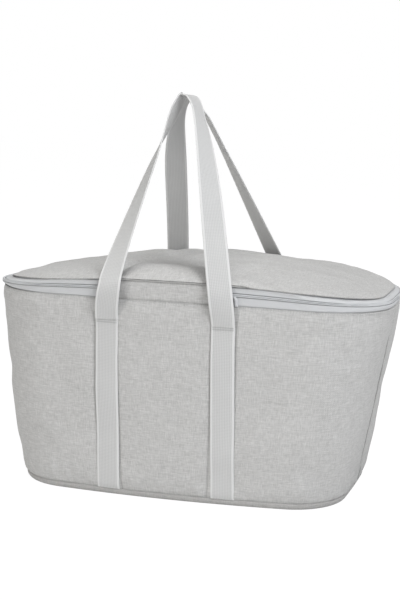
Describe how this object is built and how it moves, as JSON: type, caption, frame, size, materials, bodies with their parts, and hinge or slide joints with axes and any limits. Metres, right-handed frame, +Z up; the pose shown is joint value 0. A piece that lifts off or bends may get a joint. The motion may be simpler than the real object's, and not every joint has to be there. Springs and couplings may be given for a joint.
{
  "type": "insulated cooler bag",
  "caption": "Soft insulated cooler bag: tapering oval fabric tub, padded zip lid on a fabric hinge, and webbing carry handles that meet above the lid.",
  "frame": {"origin": "centre of the flat underside that the bag stands on", "axes": "+X along the bag's length, +Y towards the side where the zip sliders meet, +Z up; the lid's fabric hinge is on the -Y side"},
  "size_m": [0.4458, 0.2666, 0.4336],
  "materials": {
    "melange_fabric": "pale warm-grey melange canvas weave, matte",
    "webbing": "pale grey ribbed webbing with smooth selvedges",
    "zip_tape": "cool pale grey woven zip tape",
    "zip_teeth": "nylon coil, satin",
    "zip_metal": "pale grey painted zinc, satin",
    "foam": "closed-cell foam sheet",
    "board": "plastic stiffener board",
    "lining_film": "wipe-clean silver-grey lining film",
    "binding_tape": "grey binding tape"
  },
  "bodies": {
    "tub": {"outer_panel_hinge_side": "melange_fabric", "outer_panel_opening_side": "melange_fabric", "base_panel": "melange_fabric", "base_board": "board", "base_insulation": "foam", "wall_insulation_hinge_side": "foam", "wall_insulation_opening_side": "foam", "inner_lining": "lining_film", "rim_binding": "binding_tape", "hinge_band": "melange_fabric", "end_seam_left": "melange_fabric", "end_seam_right": "melange_fabric", "zip_tape_body": "zip_tape", "zip_teeth_body": "zip_teeth", "zip_end_tab_left": "zip_tape", "zip_end_tab_right": "zip_tape", "sewn_strap_hinge_side_left": "webbing", "sewn_strap_hinge_side_right": "webbing", "sewn_strap_opening_side_left": "webbing", "sewn_strap_opening_side_right": "webbing"},
    "lid": {"lid_panel": "melange_fabric", "lid_insulation": "foam", "lid_lining": "lining_film", "zip_tape_lid": "zip_tape", "zip_teeth_lid": "zip_teeth"},
    "strap_roots_hinge_side": {"strap_root_hinge_side_left": "webbing", "strap_root_hinge_side_right": "webbing"},
    "strap_roots_opening_side": {"strap_root_opening_side_left": "webbing", "strap_root_opening_side_right": "webbing"},
    "handle_hinge_side": {"handle_hinge_side": "webbing"},
    "handle_opening_side": {"handle_opening_side": "webbing"},
    "slider_left": {"zip_slider_left": "zip_metal"},
    "puller_left": {"zip_puller_left": "zip_metal"},
    "slider_right": {"zip_slider_right": "zip_metal"},
    "puller_right": {"zip_puller_right": "zip_metal"}
  },
  "joints": [
    {"name": "lid_hinge", "type": "hinge", "parent": "tub", "child": "lid", "pos_m": [0, -0.12473, 0.2396], "axis": [1, 0, 0], "range_deg": [0, 95]},
    {"name": "straps_hinge_side_fold", "type": "hinge", "parent": "tub", "child": "strap_roots_hinge_side", "pos_m": [0, -0.12579, 0.196], "axis": [1, 0, 0], "range_deg": [0, 115]},
    {"name": "straps_opening_side_fold", "type": "hinge", "parent": "tub", "child": "strap_roots_opening_side", "pos_m": [0, 0.12579, 0.196], "axis": [-1, 0, 0], "range_deg": [0, 115]},
    {"name": "handle_hinge_side_fold", "type": "hinge", "parent": "strap_roots_hinge_side", "child": "handle_hinge_side", "pos_m": [0, -0.13363, 0.24], "axis": [1, 0, 0], "range_deg": [0, 55]},
    {"name": "handle_opening_side_fold", "type": "hinge", "parent": "strap_roots_opening_side", "child": "handle_opening_side", "pos_m": [0, 0.13363, 0.24], "axis": [-1, 0, 0], "range_deg": [0, 55]},
    {"name": "zip_slider_left_travel", "type": "hinge", "parent": "tub", "child": "slider_left", "pos_m": [0, -0.79397, -0.18895], "axis": [0, -0.4161, 0.9093], "range_deg": [0, 2.1]},
    {"name": "zip_puller_left_swing", "type": "hinge", "parent": "slider_left", "child": "puller_left", "pos_m": [-0.00904, 0.12953, 0.23128], "axis": [1, 0.0081, 0], "range_deg": [0, 150]},
    {"name": "zip_slider_right_travel", "type": "hinge", "parent": "tub", "child": "slider_right", "pos_m": [0, -0.79397, -0.18895], "axis": [0, 0.4161, -0.9093], "range_deg": [0, 2.1]},
    {"name": "zip_puller_right_swing", "type": "hinge", "parent": "slider_right", "child": "puller_right", "pos_m": [0.00904, 0.12953, 0.23128], "axis": [1, -0.0081, 0], "range_deg": [0, 150]}
  ],
  "couplings": [
    {"joint": "straps_hinge_side_fold", "follows": "lid_hinge", "ratio": 1.2},
    {"joint": "straps_opening_side_fold", "follows": "lid_hinge", "ratio": 1.2}
  ]
}
